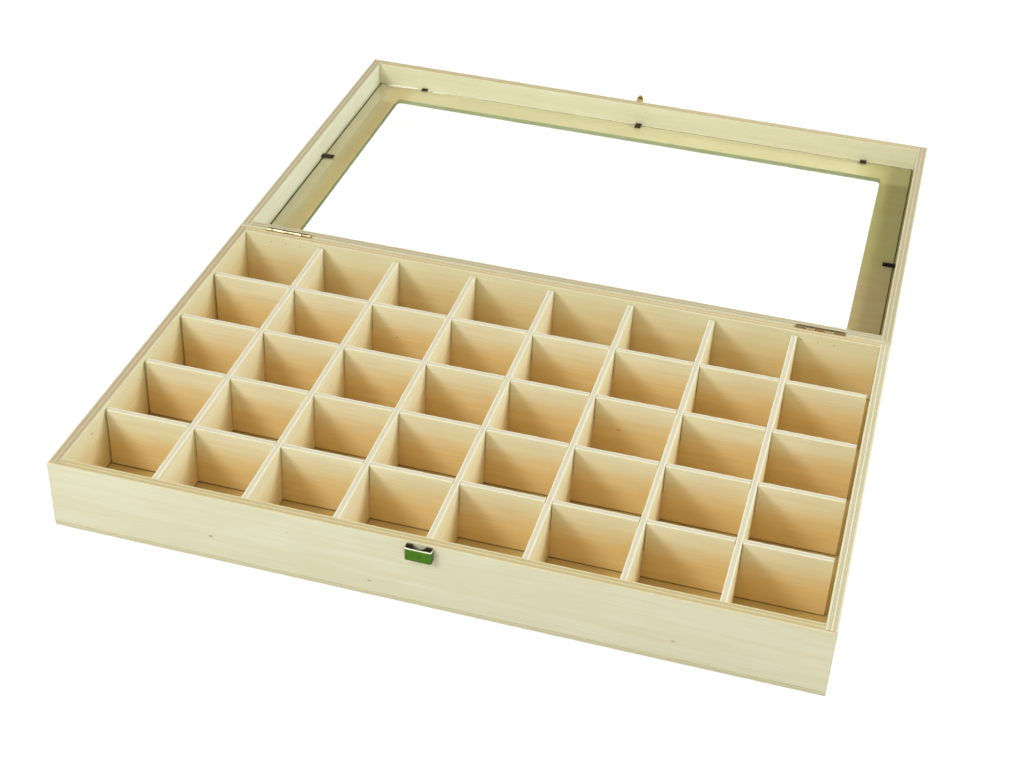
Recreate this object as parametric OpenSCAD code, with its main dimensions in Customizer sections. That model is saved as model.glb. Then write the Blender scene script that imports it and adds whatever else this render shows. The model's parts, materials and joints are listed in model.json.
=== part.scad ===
// Mineral specimen box: a plywood case with a drop-in grid of crossed dividers and a hinged lid
// with a clear pane. It is drawn open, with the lid turned half a turn so that it lies level
// behind the box. Origin: centre of the box's bottom face. +X right, +Y rear, +Z up.

/* [Box] */
// Outside length of box and lid, left to right
box_w = 400; // [340:1:460]
// Outside depth of box and lid, front to rear
box_d = 250; // [210:1:300]
// Height of the box walls above the bottom panel
wall_h = 38; // [30:0.5:60]
// Thickness of the plywood walls
wall_t = 6; // [5:0.5:8]
// Thickness of the panel under the box walls
bottom_t = 2.5; // [2:0.5:5]
// Thickness left of the front and rear walls where they cover a side wall's end
lap_t = 1.5; // [1:0.25:2.5]

/* [Divider grid] */
// Compartments from left to right
columns = 8; // [5:1:9]
// Compartments from front to rear
rows = 5; // [3:1:6]
// Thickness of the divider strips
divider_t = 3.5; // [2:0.25:4.5]
// Height of the box's rim above the dividers
divider_drop = 2; // [1:0.25:6]
// Gap between the front and rear walls and the cross dividers' ends
cross_play = 0.8; // [0.6:0.1:2]
// Mean gap between the side walls and the long dividers' ends
long_play = 1.35; // [1.2:0.05:3]
// Distance that the loose grid has slid to the right
grid_shift = 0.3; // [-0.1:0.1:1]
// Distance of the long dividers' slots from their true place, towards the right end
slot_offset = 0.8; // [0:0.1:1]
// Extra length of each compartment beside a wall
end_extra = 2.3; // [0:0.1:4]
// Clearance of a slot on each side of the strip that it takes
slot_play = 0.1; // [0.05:0.05:0.3]

/* [Lid] */
// Depth of the lid from its rim to the pane
lid_depth = 14.5; // [10:0.5:25]
// Thickness of the clear pane
pane_t = 2; // [1:0.25:3]
// Gap between the pane's edges and the lid walls
pane_play = 1; // [0.5:0.25:2]
// Thickness of the lid's windowed panel
panel_t = 3; // [2:0.5:5]
// Width of the panel beside the window, left and right
border_side = 27; // [20:1:45]
// Width of the panel before and behind the window
border_front = 26.5; // [20:1:45]
// Radius of the window's corners
window_r = 3; // [1:0.5:10]

/* [Hinges] */
// Length of a hinge along the seam
hinge_l = 28; // [20:1:36]
// Distance from the left end of the box to the left hinge
hinge_left_inset = 18; // [12:1:50]
// Distance from the right end of the box to the right hinge
hinge_right_inset = 27; // [12:1:50]
// Height of a leaf, from the pin's axis to its edge
leaf_h = 8.5; // [7:0.25:12]
// Thickness of a leaf
leaf_t = 0.6; // [0.5:0.05:0.8]
// Diameter of the knuckles
barrel_d = 2.8; // [2.6:0.1:4]
// Diameter of the pin
pin_d = 1.3; // [1:0.1:1.6]
// Knuckles of a hinge, an odd number
knuckles = 5; // [3:2:7]
// Distance from the rim down to the hinge nails
hinge_nail_drop = 4.6; // [4:0.1:5.5]
// Distance between the nails of a leaf
hinge_nail_pitch = 9.4; // [6:0.1:9.5]

/* [Latch] */
// Distance of the latch from the middle of the front, negative to the left
latch_x = -2; // [-20:0.5:20]
// Width of the catch on the box
catch_w = 14; // [12:0.5:18]
// Height of the catch on the box
catch_h = 7.8; // [7:0.1:12]
// How far the catch stands out from the wall
catch_d = 3.5; // [3.4:0.1:5]
// Distance from the rim down to the catch
catch_drop = 1; // [0.8:0.1:2]
// Radius of the half-round notch in the catch's top
notch_r = 3.4; // [3.4:0.1:4]
// Thickness of the brass sheet of catch and latch
sheet_t = 0.6; // [0.5:0.05:0.6]
// Outside radius of the catch's bent corners
catch_bend_r = 1.2; // [0.8:0.1:1.6]
// Length of the catch's prongs in the wall
prong_l = 4; // [2:0.5:4.5]
// Height of a prong at its root
prong_h = 2; // [1:0.25:3]
// Width of the latch plate on the lid
latch_w = 16; // [16:0.5:20]
// Height of the latch plate on the lid
latch_h = 8.5; // [7:0.25:11]
// Distance from the lid's rim to the latch plate
latch_edge = 0.5; // [0.3:0.1:1]
// Distance between the nails of the latch plate
latch_nail_pitch = 12; // [10:0.25:12]
// Distance from the lid's rim to the latch nails
latch_nail_drop = 4.8; // [3:0.1:6]
// How far the tongue reaches past the lid's rim
tongue_reach = 4; // [3.6:0.1:5]
// Width of the tongue where it leaves the plate
tongue_w = 5; // [4:0.1:5.2]
// Width of the tongue's rounded tip
tip_w = 3.4; // [2.4:0.1:3.4]
// Gap between the tongue's straight part and the wall
tongue_off = 0.85; // [0.5:0.05:1]
// Gap between the tongue's crest and the catch's front
crest_play = 0.2; // [0.2:0.05:0.6]
// Height above the lid's rim at which the tongue turns straight
tongue_bend = 0.4; // [0.3:0.1:0.6]
// Height of the slope from the tongue's straight part to its crest
crest_rise = 0.9; // [0.6:0.1:1.2]
// How far the tongue's end stands out from its straight part
tip_off = 0.3; // [0.1:0.05:0.6]

/* [Nails and glazing points] */
// Diameter of the nails
nail_d = 1; // [0.8:0.1:1.2]
// Diameter of the countersunk nail heads
head_d = 2; // [1.6:0.1:2.2]
// Thickness of the nail heads
head_h = 0.4; // [0.3:0.05:0.45]
// How far the nails' points come out of the wall
tip_out = 0.4; // [0.1:0.05:0.45]
// Width of a glazing point
point_w = 5; // [3:0.25:6]
// Thickness of a glazing point
point_t = 0.5; // [0.3:0.05:0.8]
// How far a glazing point reaches over the pane
point_reach = 8.25; // [4:0.25:12]
// How far a glazing point is driven into the wall
point_bite = 4; // [2:0.25:4.5]
// Distance from the lid's ends to the outer glazing points
point_inset = 41; // [25:1:80]
// Distance from the middle of the right wall to its glazing point, towards the hinges
right_point_shift = 15; // [0:1:60]

/* [Clearances] */
// Gap between the rear walls when the lid lies open
hinge_gap = 0.4; // [0.3:0.05:0.6]
// Gap between the rims when the lid is shut
rim_gap = 0.3; // [0.1:0.05:0.5]
// Gap around the knuckles in the wood
barrel_play = 0.3; // [0.2:0.05:0.5]
// Gap between neighbouring knuckles
knuckle_play = 0.2; // [0.1:0.05:0.3]
// Clearance around a pin in the lid leaf's knuckles
pin_play = 0.05; // [0.02:0.01:0.08]
// Clearance around nails, prongs and glazing points in their holes
drive_play = 0.05; // [0.02:0.01:0.1]

/* [Hidden] */
$fn = 48;
BOX_NODES = [
    "front_wall", "rear_wall", "left_wall", "right_wall", "bottom_panel",
    "hinge_leaf_box_left", "hinge_leaf_box_right", "hinge_pin_left", "hinge_pin_right",
    "hinge_nails_box", "catch_bracket"
];
LID_NODES = [
    "lid_front_wall", "lid_rear_wall", "lid_left_wall", "lid_right_wall", "lid_panel", "pane",
    "glazing_points", "hinge_leaf_lid_left", "hinge_leaf_lid_right", "hinge_nails_lid",
    "latch_plate", "latch_nails"
];

past = 1; // how far a cutting solid runs past the face that it cuts
inner_w = box_w - 2 * wall_t;
inner_d = box_d - 2 * wall_t;
box_h = wall_h + bottom_t;
divider_h = wall_h - divider_drop;
column_pitch = (inner_w + divider_t - 2 * end_extra) / columns;
row_pitch = (inner_d + divider_t - 2 * end_extra) / rows;
lid_wall_h = lid_depth + pane_t;
axis_y = (box_d + hinge_gap) / 2;
axis_z = box_h + rim_gap / 2;
lid_y = axis_y + (hinge_gap + box_d) / 2;
barrel_r = barrel_d / 2;
knuckle_pitch = hinge_l / knuckles;
leaf_top = barrel_r + barrel_play;
hinge_left_x = -box_w / 2 + hinge_left_inset + hinge_l / 2;
hinge_right_x = box_w / 2 - hinge_right_inset - hinge_l / 2;
hinge_nail_l = wall_t + tip_out;
latch_nail_l = sheet_t + wall_t + tip_out;
crest_y = catch_d - sheet_t - crest_play;
crest_z = tongue_reach - tip_w / 2;
nail_point_l = 1;
WOOD = "burlywood";
STRIP = "wheat";
BRASS = "goldenrod";
STEEL = "dimgray";

// Middle of cross divider i, counted from the left
function cross_x(i) = grid_shift + (i - columns / 2) * column_pitch;

// Middle of long divider j, counted from the front
function long_y(j) = (j - rows / 2) * row_pitch;

// Frames: the rim plane is z = 0, and the wood lies below it

module at_box_rim() {
    translate([0, 0, box_h]) children();
}

module at_lid_rim() {
    translate([0, lid_y, box_h]) children();
}

// Outer rear face of the box, with +Y pointing out of it
module at_box_rear(x) {
    translate([x, box_d / 2, box_h]) children();
}

// Outer rear face of the open lid, with +Y pointing out of it
module at_lid_rear(x) {
    translate([x, lid_y - box_d / 2, box_h]) rotate([0, 0, 180]) children();
}

// Outer front face of the box, with +Y pointing out of it
module at_box_front() {
    translate([latch_x, -box_d / 2, box_h]) rotate([0, 0, 180]) children();
}

// Outer front face of the open lid, with +Y pointing out of it
module at_lid_front() {
    translate([latch_x, lid_y + box_d / 2, box_h]) children();
}

// Wood

// Long wall with its outer face at y = 0 and +Y pointing out, rabbeted at both ends
module long_wall(h) {
    difference() {
        translate([-box_w / 2, -wall_t, -h]) cube([box_w, wall_t, h]);
        for (s = [-1, 1])
            translate([s * box_w / 2, -(wall_t + lap_t) / 2 - past / 2, -h / 2])
                cube([2 * wall_t, wall_t - lap_t + past, h + 2 * past], center = true);
    }
}

// Side wall with its outer face at x = 0 and +X pointing out
module side_wall(h) {
    translate([-wall_t, -box_d / 2 + lap_t, -h]) cube([wall_t, box_d - 2 * lap_t, h]);
}

// Cut for a hinge leaf and its knuckles in an outer face, hinge in the middle
module hinge_pocket() {
    width = hinge_l + 2 * barrel_play;
    translate([-width / 2, -leaf_t, -leaf_h - drive_play])
        cube([width, leaf_t + past, leaf_h + past]);
    translate([0, hinge_gap / 2, rim_gap / 2]) rotate([0, 90, 0])
        cylinder(r = leaf_top, h = width, center = true);
    hinge_nail_places() nail(hinge_nail_l + past, drive_play);
}

module front_wall() {
    color(WOOD) difference() {
        translate([0, -box_d / 2, box_h]) rotate([0, 0, 180]) long_wall(wall_h);
        at_box_front() prongs(drive_play);
    }
}

module rear_wall() {
    color(WOOD) difference() {
        translate([0, box_d / 2, box_h]) long_wall(wall_h);
        for (x = [hinge_left_x, hinge_right_x]) at_box_rear(x) hinge_pocket();
    }
}

module left_wall() {
    color(WOOD) at_box_rim() translate([-box_w / 2, 0, 0]) rotate([0, 0, 180]) side_wall(wall_h);
}

module right_wall() {
    color(WOOD) at_box_rim() translate([box_w / 2, 0, 0]) side_wall(wall_h);
}

module bottom_panel() {
    color(WOOD) translate([-box_w / 2, -box_d / 2, 0]) cube([box_w, box_d, bottom_t]);
}

module lid_front_wall() {
    color(WOOD) difference() {
        at_lid_rim() translate([0, box_d / 2, 0]) long_wall(lid_wall_h);
        at_lid_front() latch_nail_places() nail(latch_nail_l + past, drive_play);
        glazing_point_places() glazing_point(drive_play);
    }
}

module lid_rear_wall() {
    color(WOOD) difference() {
        at_lid_rim() translate([0, -box_d / 2, 0]) rotate([0, 0, 180]) long_wall(lid_wall_h);
        for (x = [hinge_left_x, hinge_right_x]) at_lid_rear(x) hinge_pocket();
        glazing_point_places() glazing_point(drive_play);
    }
}

module lid_left_wall() {
    color(WOOD) difference() {
        at_lid_rim() translate([-box_w / 2, 0, 0]) rotate([0, 0, 180]) side_wall(lid_wall_h);
        glazing_point_places() glazing_point(drive_play);
    }
}

module lid_right_wall() {
    color(WOOD) difference() {
        at_lid_rim() translate([box_w / 2, 0, 0]) side_wall(lid_wall_h);
        glazing_point_places() glazing_point(drive_play);
    }
}

// Rectangle with round corners, centred
module round_rect(w, d, r) {
    square([w - 2 * r, d], center = true);
    square([w, d - 2 * r], center = true);
    for (x = [-1, 1], y = [-1, 1]) translate([x * (w / 2 - r), y * (d / 2 - r)]) circle(r = r);
}

module lid_panel() {
    color(WOOD) at_lid_rim() translate([0, 0, -lid_wall_h - panel_t]) difference() {
        translate([-box_w / 2, -box_d / 2, 0]) cube([box_w, box_d, panel_t]);
        translate([0, 0, -past]) linear_extrude(panel_t + 2 * past)
            round_rect(box_w - 2 * border_side, box_d - 2 * border_front, window_r);
    }
}

// Dividers, cross-halved into each other

module cross_divider(i) {
    length = inner_d - 2 * cross_play;
    color(STRIP) translate([cross_x(i), 0, bottom_t]) difference() {
        translate([-divider_t / 2, -length / 2, 0]) cube([divider_t, length, divider_h]);
        for (j = [1:rows - 1]) translate([0, long_y(j), divider_h / 4 + (slot_play - past) / 2])
            cube([
                divider_t + past, divider_t + 2 * slot_play, divider_h / 2 + slot_play + past
            ], center = true);
    }
}

module long_divider(j) {
    length = inner_w - 2 * long_play;
    middle = grid_shift - slot_offset;
    color(STRIP) translate([middle, long_y(j), bottom_t]) difference() {
        translate([-length / 2, -divider_t / 2, 0]) cube([length, divider_t, divider_h]);
        for (i = [1:columns - 1])
            translate([cross_x(i) - middle, 0, divider_h * 3 / 4 + (past - slot_play) / 2])
                cube([
                    divider_t + 2 * slot_play, divider_t + past, divider_h / 2 + slot_play + past
                ], center = true);
    }
}

// Pane and glazing points

module pane() {
    color("lightcyan", 0.35) at_lid_rim() translate([0, 0, -lid_wall_h])
        translate([pane_play - inner_w / 2, pane_play - inner_d / 2, 0])
            cube([inner_w - 2 * pane_play, inner_d - 2 * pane_play, pane_t]);
}

// Flat point that lies on z = 0 and reaches along +Y from a wall face at y = 0
module glazing_point(play = 0) {
    half = point_w / 2 + play;
    translate([0, 0, -play]) linear_extrude(point_t + 2 * play) polygon([
        [-half, point_reach], [half, point_reach], [half, -point_bite / 2],
        [0, -point_bite - play], [-half, -point_bite / 2]
    ]);
}

// Three places along each long wall of the lid and one on each side wall
module glazing_point_places() {
    outer_x = box_w / 2 - point_inset;
    at_lid_rim() translate([0, 0, -lid_depth]) for (s = [0, 180]) rotate([0, 0, s]) {
        for (x = [-outer_x, 0, outer_x]) translate([x, -inner_d / 2, 0]) children();
        translate([inner_w / 2, s == 0 ? -right_point_shift : 0, 0])
            rotate([0, 0, 90]) children();
    }
}

module glazing_points() {
    color(STEEL) glazing_point_places() glazing_point();
}

// Nails

// Countersunk nail along Y, its head flush with y = 0
module nail(length, play = 0) {
    r = nail_d / 2 + play;
    rotate([90, 0, 0]) {
        cylinder(r = r, h = length - nail_point_l);
        translate([0, 0, length - nail_point_l])
            cylinder(r1 = r, r2 = play > 0 ? r : r / 4, h = nail_point_l);
        cylinder(r1 = head_d / 2 + play, r2 = r, h = head_h + play);
    }
}

module hinge_nail_places() {
    for (k = [-1, 0, 1]) translate([k * hinge_nail_pitch, 0, -hinge_nail_drop]) children();
}

module latch_nail_places() {
    for (k = [-1, 1])
        translate([k * latch_nail_pitch / 2, sheet_t, -latch_nail_drop]) children();
}

module hinge_nails_box() {
    color(BRASS) for (x = [hinge_left_x, hinge_right_x])
        at_box_rear(x) hinge_nail_places() nail(hinge_nail_l);
}

module hinge_nails_lid() {
    color(BRASS) for (x = [hinge_left_x, hinge_right_x])
        at_lid_rear(x) hinge_nail_places() nail(hinge_nail_l);
}

module latch_nails() {
    color(BRASS) at_lid_front() latch_nail_places() nail(latch_nail_l);
}

// Hinges

// Leaf in an outer face at y = 0; first is 0 for the leaf with the end knuckles, else 1
module hinge_leaf(first) {
    color(BRASS) difference() {
        union() {
            translate([-hinge_l / 2, -leaf_t, -leaf_h])
                cube([hinge_l, leaf_t, leaf_h + rim_gap / 2 - leaf_top]);
            for (k = [first:2:knuckles - 1])
                translate([(k + 0.5) * knuckle_pitch - hinge_l / 2, 0, 0]) knuckle();
        }
        translate([0, hinge_gap / 2, rim_gap / 2]) rotate([0, 90, 0])
            cylinder(r = pin_d / 2 + pin_play, h = hinge_l + 2 * past, center = true);
        hinge_nail_places() nail(leaf_h, drive_play);
    }
}

// Knuckle with the web that joins it to the leaf
module knuckle() {
    length = knuckle_pitch - knuckle_play;
    translate([0, hinge_gap / 2, rim_gap / 2]) rotate([0, 90, 0])
        cylinder(r = barrel_r, h = length, center = true);
    translate([-length / 2, -leaf_t, rim_gap / 2 - leaf_top - past])
        cube([length, leaf_t, leaf_top + past]);
}

module hinge_pin(x) {
    color(BRASS) translate([x, axis_y, axis_z]) rotate([0, 90, 0])
        cylinder(r = pin_d / 2, h = hinge_l, center = true);
}

module hinge_leaf_box_left() {
    at_box_rear(hinge_left_x) hinge_leaf(0);
}

module hinge_leaf_box_right() {
    at_box_rear(hinge_right_x) hinge_leaf(0);
}

module hinge_leaf_lid_left() {
    at_lid_rear(hinge_left_x) hinge_leaf(1);
}

module hinge_leaf_lid_right() {
    at_lid_rear(hinge_right_x) hinge_leaf(1);
}

module hinge_pin_left() {
    hinge_pin(hinge_left_x);
}

module hinge_pin_right() {
    hinge_pin(hinge_right_x);
}

// Latch

// Outline of the catch seen from above, with its outer corners bent round
module catch_outline(w, d, r) {
    translate([-w / 2, 0]) square([w, d - r]);
    translate([r - w / 2, 0]) square([w - 2 * r, d]);
    for (s = [-1, 1]) translate([s * (w / 2 - r), d - r]) circle(r = r);
}

// Side view of a prong, or of the hole that takes it where play is set
module prong_outline(play) {
    half = prong_h / 2 + play;
    polygon([[0, half], [-prong_l - play, 0], [0, -half]]);
    if (play > 0) translate([0, -half]) square([past, 2 * half]);
}

// Prongs at the back of the catch's cheeks
module prongs(play = 0) {
    for (s = [-1, 1])
        translate([s * (catch_w - sheet_t) / 2, 0, -catch_drop - catch_h / 2])
            rotate([90, 0, 90]) linear_extrude(sheet_t + 2 * play, center = true)
                prong_outline(play);
}

module catch_bracket() {
    inner_r = catch_bend_r - sheet_t;
    color(BRASS) at_box_front() {
        translate([0, 0, -catch_drop - catch_h]) difference() {
            linear_extrude(catch_h) catch_outline(catch_w, catch_d, catch_bend_r);
            translate([0, 0, -past]) linear_extrude(catch_h + past - sheet_t) {
                catch_outline(catch_w - 2 * sheet_t, catch_d - sheet_t, inner_r);
                translate([sheet_t - catch_w / 2, -past])
                    square([catch_w - 2 * sheet_t, past + inner_r]);
            }
            translate([0, 0, catch_h - sheet_t - past])
                cylinder(r = notch_r, h = sheet_t + 2 * past);
        }
        prongs();
    }
}

// Side view of the tongue: up from the plate, out, straight, over the crest and back
module tongue_profile() {
    bend_z = crest_z - crest_rise;
    tip_y = tongue_off + tip_off;
    polygon([
        [0, -latch_edge - sheet_t], [0, -latch_edge], [tongue_off, tongue_bend],
        [tongue_off, bend_z], [crest_y - sheet_t, crest_z], [tip_y, tongue_reach],
        [tip_y + sheet_t, tongue_reach], [crest_y, crest_z],
        [tongue_off + sheet_t, bend_z - sheet_t / 4], [tongue_off + sheet_t, tongue_bend - sheet_t / 2],
        [sheet_t, -latch_edge - sheet_t / 2], [sheet_t, -latch_edge - sheet_t]
    ]);
}

// Front view of the tongue: it narrows from the plate to a round tip
module tongue_outline() {
    polygon([
        [-tongue_w / 2, -latch_edge - 2 * sheet_t], [tongue_w / 2, -latch_edge - 2 * sheet_t],
        [tongue_w / 2, 0], [tip_w / 2, crest_z], [-tip_w / 2, crest_z], [-tongue_w / 2, 0]
    ]);
    translate([0, crest_z]) circle(r = tip_w / 2);
}

module latch_plate() {
    color(BRASS) at_lid_front() {
        difference() {
            translate([-latch_w / 2, 0, -latch_edge - latch_h])
                cube([latch_w, sheet_t, latch_h]);
            latch_nail_places() nail(latch_h, drive_play);
        }
        intersection() {
            rotate([90, 0, 90]) linear_extrude(tongue_w + past, center = true) tongue_profile();
            rotate([90, 0, 0]) translate([0, 0, -catch_d])
                linear_extrude(catch_d + past) tongue_outline();
        }
    }
}

front_wall();
rear_wall();
left_wall();
right_wall();
bottom_panel();
hinge_leaf_box_left();
hinge_leaf_box_right();
hinge_pin_left();
hinge_pin_right();
hinge_nails_box();
catch_bracket();
for (i = [1:columns - 1])
    cross_divider(i);
for (j = [1:rows - 1])
    long_divider(j);
lid_front_wall();
lid_rear_wall();
lid_left_wall();
lid_right_wall();
lid_panel();
pane();
glazing_points();
hinge_leaf_lid_left();
hinge_leaf_lid_right();
hinge_nails_lid();
latch_plate();
latch_nails();
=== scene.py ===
"""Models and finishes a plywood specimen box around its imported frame, and sets up the studio."""

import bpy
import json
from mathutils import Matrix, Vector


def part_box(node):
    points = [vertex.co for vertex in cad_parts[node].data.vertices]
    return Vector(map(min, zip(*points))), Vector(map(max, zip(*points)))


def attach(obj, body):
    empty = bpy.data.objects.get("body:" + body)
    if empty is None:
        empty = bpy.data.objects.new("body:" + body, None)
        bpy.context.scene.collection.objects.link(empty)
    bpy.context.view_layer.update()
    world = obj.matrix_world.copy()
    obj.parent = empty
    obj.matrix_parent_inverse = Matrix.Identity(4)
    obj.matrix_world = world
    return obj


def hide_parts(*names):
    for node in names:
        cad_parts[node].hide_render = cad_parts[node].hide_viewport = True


bl_info = {
    "name": "Mineral Specimen Box",
    "version": (1, 0, 0),
    "blender": (4, 5, 0),
    "location": "View3D > Sidebar > Specimen Box",
    "description": "Plywood specimen box with a divider grid and a hinged lid with a clear pane",
    "category": "Object",
}

import json
import math

import bmesh
import bpy
from bpy.props import FloatProperty, FloatVectorProperty, PointerProperty
from mathutils import Euler, Matrix, Vector

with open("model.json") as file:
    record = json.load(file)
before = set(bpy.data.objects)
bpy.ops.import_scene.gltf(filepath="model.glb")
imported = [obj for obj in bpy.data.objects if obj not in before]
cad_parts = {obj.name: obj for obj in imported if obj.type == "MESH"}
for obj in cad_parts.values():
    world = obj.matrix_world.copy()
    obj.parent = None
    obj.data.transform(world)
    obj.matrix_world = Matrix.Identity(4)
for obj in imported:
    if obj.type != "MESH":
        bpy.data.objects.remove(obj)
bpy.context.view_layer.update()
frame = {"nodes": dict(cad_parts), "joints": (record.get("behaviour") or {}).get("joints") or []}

MM = 0.001
X, Y, Z = 0, 1, 2
LOW, HIGH = 0, 1
CROSS_DIVIDERS = sorted(name for name in frame["nodes"] if name.startswith("cross_divider"))
LONG_DIVIDERS = sorted(name for name in frame["nodes"] if name.startswith("long_divider"))

# Places that several pieces share, measured on the frame
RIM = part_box("front_wall")[HIGH].z
HINGE_AXIS = Vector(frame["joints"][0]["pos_m"])
BOX_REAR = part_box("rear_wall")[HIGH].y
LID_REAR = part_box("lid_rear_wall")[LOW].y
BOX_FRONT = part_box("front_wall")[LOW].y
LID_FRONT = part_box("lid_front_wall")[HIGH].y
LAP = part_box("left_wall")[LOW].y - BOX_FRONT

# Plies in the walls, and in the thin strips and panels
WALL_PLIES, THIN_PLIES = 5, 3

# Width of the lid panel beside its window and before it, and the radius of the window's corners
WINDOW_SIDE, WINDOW_FRONT, WINDOW_CORNER = 27 * MM, 26.5 * MM, 3 * MM

# Hinges: length, knuckles of both leaves together, height and thickness of a leaf,
# outer radius of a knuckle, and the radius of the pin
HINGE_LENGTH, KNUCKLES, LEAF_HEIGHT, LEAF_SHEET = 28 * MM, 5, 8.5 * MM, 0.6 * MM
BARREL_RADIUS, PIN_RADIUS = 1.4 * MM, 0.65 * MM

# Nails: radius of the head, its countersink, the shank and the tip, and the length of the tip
HEAD_RADIUS, HEAD_DEPTH = 1 * MM, 0.4 * MM
SHANK_RADIUS, TIP_RADIUS, TIP_LENGTH = 0.5 * MM, 0.12 * MM, 1 * MM
HINGE_NAIL_PITCH, HINGE_NAIL_DROP, HINGE_NAIL_LENGTH = 9.4 * MM, 4.6 * MM, 6.4 * MM
LATCH_NAIL_PITCH, LATCH_NAIL_DROP, LATCH_NAIL_LENGTH = 12 * MM, 4.8 * MM, 7 * MM

# Thickness of the latch's and the catch's sheet
FITTING_SHEET = 0.6 * MM

# How a board's own colour is multiplied where painted light or shade, its own tone or a cut changes it
OWN_COLOUR = (1, 1, 1)
# Painted shade on the strips, darker and warmer down the cells
LONG_STRIP_PAINTED_SHADE = (1.0, 0.78, 0.50)
CROSS_STRIP_PAINTED_SHADE = (1.0, 0.88, 0.72)
# Painted light near the walls' rims; painted shade down the walls' inner faces and on the cells' floor
WALL_RIM_PAINTED_LIGHT, WALL_PAINTED_SHADE = (1.12, 1.12, 1.05), (1.12, 0.93, 0.66)
# Painted contact shadow in a thin band at the foot of the strips and walls
FOOT_PAINTED_SHADOW = (0.34, 0.25, 0.14)
# Painted shade of the lid's right wall on the panel's border, olive away from the hinge, browner near it
RIGHT_WALL_PAINTED_SHADE, RIGHT_WALL_PAINTED_SHADE_BROWN = (0.78, 0.78, 0.50), (0.84, 0.72, 0.56)
LEFT_BORDER = (0.86, 0.76, 0.58)
# Painted shade on the cut edge of the panel's window
WINDOW_EDGE_PAINTED_SHADE = (0.36, 0.46, 0.28)
PALE_BOARD = (1.10, 1.08, 0.99)
CUT_TONES = {
    "front_wall": (0.95, 0.95, 0.89),
    "left_wall": (0.84, 0.82, 0.89),
    "right_wall": (1.02, 1.11, 1.30),
}


def axis_vector(axis, length=1.0):
    """A vector along one axis."""
    vector = Vector((0, 0, 0))
    vector[axis] = length
    return vector


def colour_setting(name, description, default):
    """A setting for a colour."""
    return FloatVectorProperty(name=name, description=description, default=default, subtype="COLOR")


def length_setting(name, description, default):
    """A setting for a length."""
    return FloatProperty(name=name, description=description, default=default, min=0, unit="LENGTH")


def angle_setting(name, description, degrees):
    """A setting for an angle."""
    return FloatProperty(
        name=name, description=description, default=math.radians(degrees), subtype="ANGLE"
    )


class WoodSettings(bpy.types.PropertyGroup):
    """Size of the wood's soft edges and colours of the plywood"""

    edge_round: length_setting("Edge Round", "Radius of the sanded edges", 0.3 * MM)
    edge_wear: length_setting("Edge Wear", "How deep the edges are dented", 0.35 * MM)
    wear_step: length_setting("Wear Step", "Distance between the points of an edge", 2 * MM)
    face_light: colour_setting("Veneer", "Pale colour of the walls' veneer", (0.74, 0.73, 0.56))
    face_dark: colour_setting("Veneer Grain", "Colour of the veneer's grain", (0.64, 0.56, 0.33))
    strip_light: colour_setting("Strip", "Pale colour of the divider strips", (0.88, 0.86, 0.64))
    strip_dark: colour_setting("Strip Grain", "Colour of the strips' grain", (0.73, 0.61, 0.36))
    panel_light: colour_setting("Panel", "Colour of the thin panels' veneer", (0.63, 0.56, 0.31))
    panel_dark: colour_setting("Panel Grain", "Colour of the thin panels' grain", (0.54, 0.45, 0.21))
    cut_light: colour_setting("Cut Ply", "Colour of plies cut along the grain", (0.70, 0.61, 0.36))
    cut_dark: colour_setting("Cross Ply", "Colour of plies cut across the grain", (0.50, 0.40, 0.23))
    strip_cut_light: colour_setting(
        "Strip Edge", "Pale colour along the strips' cut edges", (0.74, 0.70, 0.54)
    )
    strip_cut_dark: colour_setting(
        "Strip Core", "Greyish colour of the strips' core", (0.58, 0.54, 0.43)
    )
    strip_glue: colour_setting("Strip Glue", "Colour of the glue in the strips", (0.48, 0.41, 0.27))
    lid_cut_light: colour_setting(
        "Lid Cut Ply", "Greyish colour of the lid walls' plies along the grain", (0.60, 0.54, 0.36)
    )
    lid_cut_dark: colour_setting(
        "Lid Cross Ply", "Colour of the lid walls' plies across the grain", (0.42, 0.36, 0.23)
    )
    glue: colour_setting("Glue Line", "Colour of the glue between plies", (0.30, 0.21, 0.10))


class FittingSettings(bpy.types.PropertyGroup):
    """Colours of the metal fittings and of the pane"""

    brass: colour_setting("Brass", "Colour of the bright sheet brass", (0.80, 0.62, 0.27))
    tarnish: colour_setting("Tarnish", "Colour of the brass where it has dulled", (0.38, 0.30, 0.11))
    hinge_tarnish: colour_setting("Hinge Tarnish", "Dull patches on the hinges", (0.68, 0.54, 0.29))
    hinge_brass: colour_setting("Hinge", "Pale colour of the hinges' brass", (0.90, 0.75, 0.45))
    nail: colour_setting("Nail", "Colour of the hinge nails", (0.42, 0.33, 0.16))
    nail_tarnish: colour_setting(
        "Nail Tarnish", "Dark colour of the browned nails", (0.08, 0.05, 0.02)
    )
    # The catch's brass and its dull patches carry a painted green reflection
    catch_brass_green_reflection: colour_setting("Catch", "Greenish colour of the catch's brass", (0.07, 0.18, 0.016))
    catch_tarnish_green_reflection: colour_setting(
        "Catch Tarnish", "Dark green where the catch has dulled", (0.03, 0.06, 0.01)
    )
    # Painted highlight along the catch's bend
    catch_bend_painted_highlight: colour_setting(
        "Catch Bend", "Bright colour where the catch's bend is rubbed", (0.95, 0.93, 0.72)
    )
    # Painted dark reflection on the catch's flange
    catch_flange_painted_reflection: colour_setting(
        "Catch Flange", "Dull brown of the catch's flange", (0.20, 0.13, 0.09)
    )
    # The glazing points' near-black colour is a painted dark reflection on the steel
    steel: colour_setting("Steel", "Colour of the glazing points", (0.035, 0.03, 0.022))
    rust: colour_setting("Rust", "Colour of rust on the glazing points", (0.10, 0.06, 0.03))
    pane_tint: colour_setting(
        "Pane Tint", "Colour of light that passes the pane", (0.985, 0.99, 0.98)
    )
    # Painted shade: the dark band along the pane's side edges stands for shade in its joint to the lid
    # walls
    pane_edge_painted_shade: colour_setting("Pane Edge", "Dark colour of the pane's cut edge", (0.09, 0.08, 0.02))


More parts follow.
